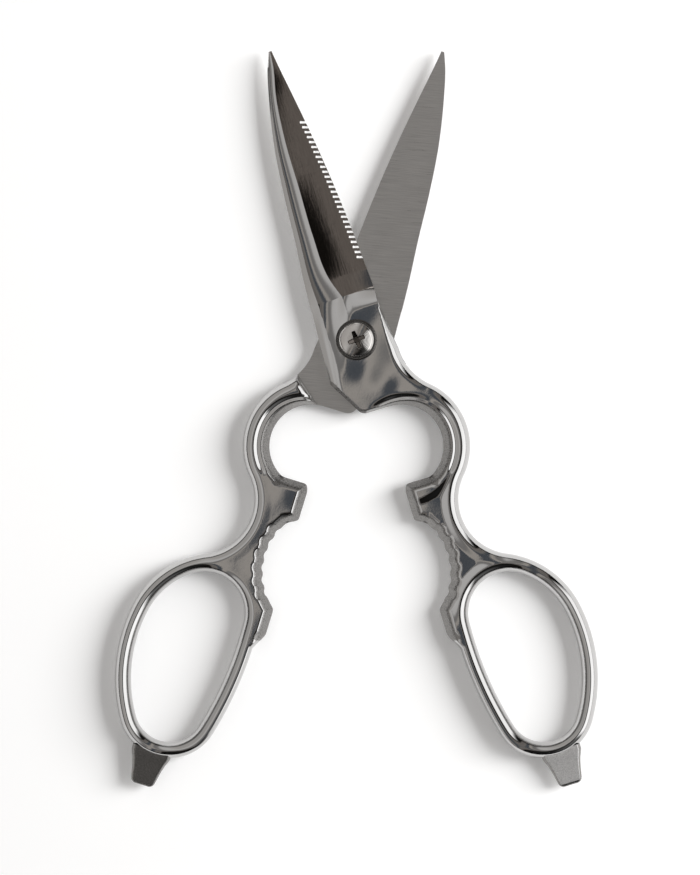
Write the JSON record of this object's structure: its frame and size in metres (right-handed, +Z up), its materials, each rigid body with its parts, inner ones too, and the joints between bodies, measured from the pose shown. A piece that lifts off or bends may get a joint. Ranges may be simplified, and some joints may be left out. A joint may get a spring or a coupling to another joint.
{
  "type": "kitchen shears",
  "caption": "All-metal kitchen shears with a toothed blade, round cap jaws, a scalloped nut grip, oval finger rings and screwdriver tips, opened on one pivot screw.",
  "frame": {"origin": "on the pivot's axis, in the plane on which the shears lie", "axes": "+X to the right and +Y from the pivot up between the blades, +Z up from the table along the pivot's axis"},
  "size_m": [0.128, 0.1951, 0.0086],
  "materials": {
    "polished_steel": "polished stainless steel with ground inner faces",
    "screw_steel": "polished steel",
    "washer_steel": "plain steel"
  },
  "bodies": {
    "rear": {"rear_half": "polished_steel", "pivot_screw": "screw_steel", "thrust_washer": "washer_steel", "lock_nut": "screw_steel"},
    "front": {"front_half": "polished_steel"}
  },
  "joints": [
    {"name": "pivot", "type": "hinge", "parent": "rear", "child": "front", "pos_m": [0, 0, 0.0035], "axis": [0, 0, 1], "range_deg": [-34, 66]}
  ]
}
